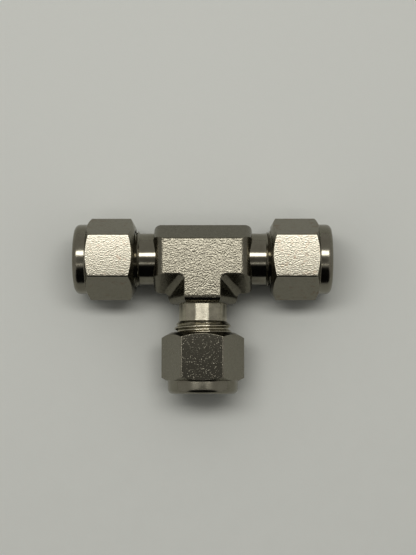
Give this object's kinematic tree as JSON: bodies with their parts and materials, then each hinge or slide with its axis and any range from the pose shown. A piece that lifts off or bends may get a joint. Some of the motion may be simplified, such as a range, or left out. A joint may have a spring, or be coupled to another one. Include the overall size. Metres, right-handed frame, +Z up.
{
  "type": "compression fitting tee",
  "caption": "Twin-ferrule compression union tee: forged hexagon body with threaded ends, hexagon nuts with round collars, and front and back ferrules for 8 mm tube.",
  "frame": {"origin": "middle of the rectangle that the fitting covers on the surface it lies on", "axes": "+X along the run to the right nut, -Y along the branch, +Z up through the wrench flats"},
  "size_m": [0.0572, 0.0392, 0.016],
  "materials": {
    "forged_steel": "tumbled forging with turned necks and threads",
    "turned_steel": "bright turned and milled bar, lightly scuffed",
    "ferrule_steel": "fine turned"
  },
  "bodies": {
    "tee_body": {"tee_body": "forged_steel"},
    "left_ferrules": {"left_front_ferrule": "ferrule_steel", "left_back_ferrule": "ferrule_steel"},
    "left_nut": {"left_nut": "turned_steel"},
    "right_ferrules": {"right_front_ferrule": "ferrule_steel", "right_back_ferrule": "ferrule_steel"},
    "right_nut": {"right_nut": "turned_steel"},
    "branch_ferrules": {"branch_front_ferrule": "ferrule_steel", "branch_back_ferrule": "ferrule_steel"},
    "branch_nut": {"branch_nut": "turned_steel"}
  },
  "joints": [
    {"name": "left_travel", "type": "slide", "parent": "tee_body", "child": "left_ferrules", "axis": [-1, 0, 0], "range_m": [0, 0.00763]},
    {"name": "left_turn", "type": "hinge", "parent": "left_ferrules", "child": "left_nut", "pos_m": [-0.0151, 0.01041, 0.008], "axis": [-1, 0, 0], "range_deg": [0, 2160]},
    {"name": "right_travel", "type": "slide", "parent": "tee_body", "child": "right_ferrules", "axis": [1, 0, 0], "range_m": [0, 0.00763]},
    {"name": "right_turn", "type": "hinge", "parent": "right_ferrules", "child": "right_nut", "pos_m": [0.0151, 0.01041, 0.008], "axis": [1, 0, 0], "range_deg": [0, 2160]},
    {"name": "branch_travel", "type": "slide", "parent": "tee_body", "child": "branch_ferrules", "axis": [0, -1, 0], "range_m": [-0.00145, 0.00618]},
    {"name": "branch_turn", "type": "hinge", "parent": "branch_ferrules", "child": "branch_nut", "pos_m": [0, -0.00614, 0.008], "axis": [0, -1, 0], "range_deg": [-410, 1750]}
  ],
  "couplings": [
    {"joint": "left_travel", "follows": "left_turn", "m_per_rad": 0.00020213},
    {"joint": "right_travel", "follows": "right_turn", "m_per_rad": 0.00020213},
    {"joint": "branch_travel", "follows": "branch_turn", "m_per_rad": 0.00020213}
  ]
}
